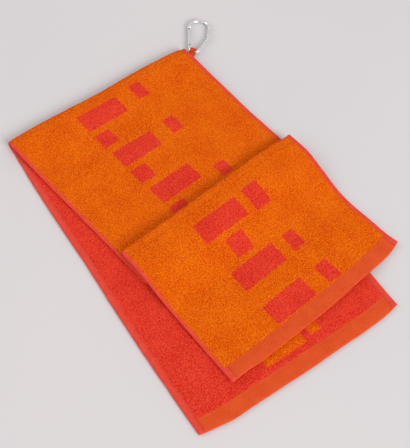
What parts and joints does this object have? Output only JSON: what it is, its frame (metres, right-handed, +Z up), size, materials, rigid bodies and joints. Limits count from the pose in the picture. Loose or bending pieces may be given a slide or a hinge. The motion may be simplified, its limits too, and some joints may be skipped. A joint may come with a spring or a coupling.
{
  "type": "quick dry towel",
  "caption": "Folded terry towel, orange on one face and coral on the other, with flat end bands, turned side hems, a tape hanging loop and a small snap hook.",
  "frame": {"origin": "middle of the model's box, on the surface that the towel lies on", "axes": "+X along the lower leaf from the main fold to its end band, +Y across the towel to the edge with the hanging loop, +Z up"},
  "size_m": [0.5746, 0.3752, 0.0203],
  "materials": {
    "orange_terry": "cut and looped cotton terry, deep orange, matt",
    "coral_terry": "looped cotton terry, coral red, matt",
    "coral_hem": "turned and stitched side hem, coral, soft sheen",
    "orange_band": "flat-woven end band, orange red, fine rib",
    "coral_thread": "sewing thread, dark coral",
    "orange_thread": "sewing thread, dark orange",
    "orange_tape": "woven cotton tape, orange red",
    "polished_metal": "polished, bright",
    "dark_steel": "plain steel pin, satin"
  },
  "bodies": {
    "lower_leaf": {"lower_terry": "coral_terry", "lower_left_hem": "coral_hem", "lower_left_stitch": "coral_thread", "lower_right_hem": "coral_hem", "lower_right_stitch": "coral_thread", "lower_end_hem": "orange_band", "lower_end_stitch": "orange_thread", "main_fold_terry": "orange_terry", "main_fold_left_hem": "coral_hem", "main_fold_left_stitch": "coral_thread", "main_fold_right_hem": "coral_hem", "main_fold_right_stitch": "coral_thread", "loop_seam": "orange_tape", "loop_bartack": "orange_thread"},
    "upper_leaf": {"upper_terry": "orange_terry", "upper_left_hem": "coral_hem", "upper_left_stitch": "coral_thread", "upper_right_hem": "coral_hem", "upper_right_stitch": "coral_thread", "hidden_fold_terry": "coral_terry", "hidden_fold_left_hem": "coral_hem", "hidden_fold_left_stitch": "coral_thread", "hidden_fold_right_hem": "coral_hem", "hidden_fold_right_stitch": "coral_thread", "pleat_terry": "coral_terry", "pleat_left_hem": "coral_hem", "pleat_left_stitch": "coral_thread", "pleat_right_hem": "coral_hem", "pleat_right_stitch": "coral_thread", "step_fold_terry": "orange_terry", "step_fold_left_hem": "coral_hem", "step_fold_left_stitch": "coral_thread", "step_fold_right_hem": "coral_hem", "step_fold_right_stitch": "coral_thread"},
    "top_flap": {"flap_terry": "orange_terry", "flap_left_hem": "coral_hem", "flap_left_stitch": "coral_thread", "flap_right_hem": "coral_hem", "flap_right_stitch": "coral_thread", "flap_end_hem": "orange_band", "flap_end_stitch": "orange_thread"},
    "hang_loop": {"loop_tape": "orange_tape"},
    "carabiner": {"carabiner_frame": "polished_metal", "gate_rivet": "dark_steel"},
    "gate": {"carabiner_gate": "polished_metal", "gate_pin": "dark_steel", "gate_spring": "dark_steel"}
  },
  "joints": [
    {"name": "main_fold", "type": "hinge", "parent": "lower_leaf", "child": "upper_leaf", "pos_m": [-0.22291, -0.03343, 0.0075], "axis": [0.0536, -0.9986, 0], "range_deg": [0, 120], "deforming": ["main_fold_terry", "main_fold_left_hem", "main_fold_left_stitch", "main_fold_right_hem", "main_fold_right_stitch"]},
    {"name": "step_fold", "type": "hinge", "parent": "upper_leaf", "child": "top_flap", "pos_m": [0.01834, 0.00532, 0.0147], "axis": [0.1232, -0.9924, 0], "range_deg": [0, 90], "deforming": ["step_fold_terry", "step_fold_left_hem", "step_fold_left_stitch", "step_fold_right_hem", "step_fold_right_stitch"]},
    {"name": "loop_flex", "type": "hinge", "parent": "lower_leaf", "child": "hang_loop", "pos_m": [-0.22553, 0.12587, 0.0063], "axis": [0.829, 0.5592, 0], "range_deg": [0, 60]},
    {"name": "carabiner_swing", "type": "hinge", "parent": "hang_loop", "child": "carabiner", "pos_m": [-0.23076, 0.13362, 0.0053], "axis": [0.829, 0.5592, 0], "range_deg": [0, 90]},
    {"name": "gate_hinge", "type": "hinge", "parent": "carabiner", "child": "gate", "pos_m": [-0.24366, 0.13519, 0.00505], "axis": [0.0162, -0.024, -0.9996], "range_deg": [0, 25], "stiffness_Nm_per_rad": 0.12, "springref_deg": -28.65}
  ]
}
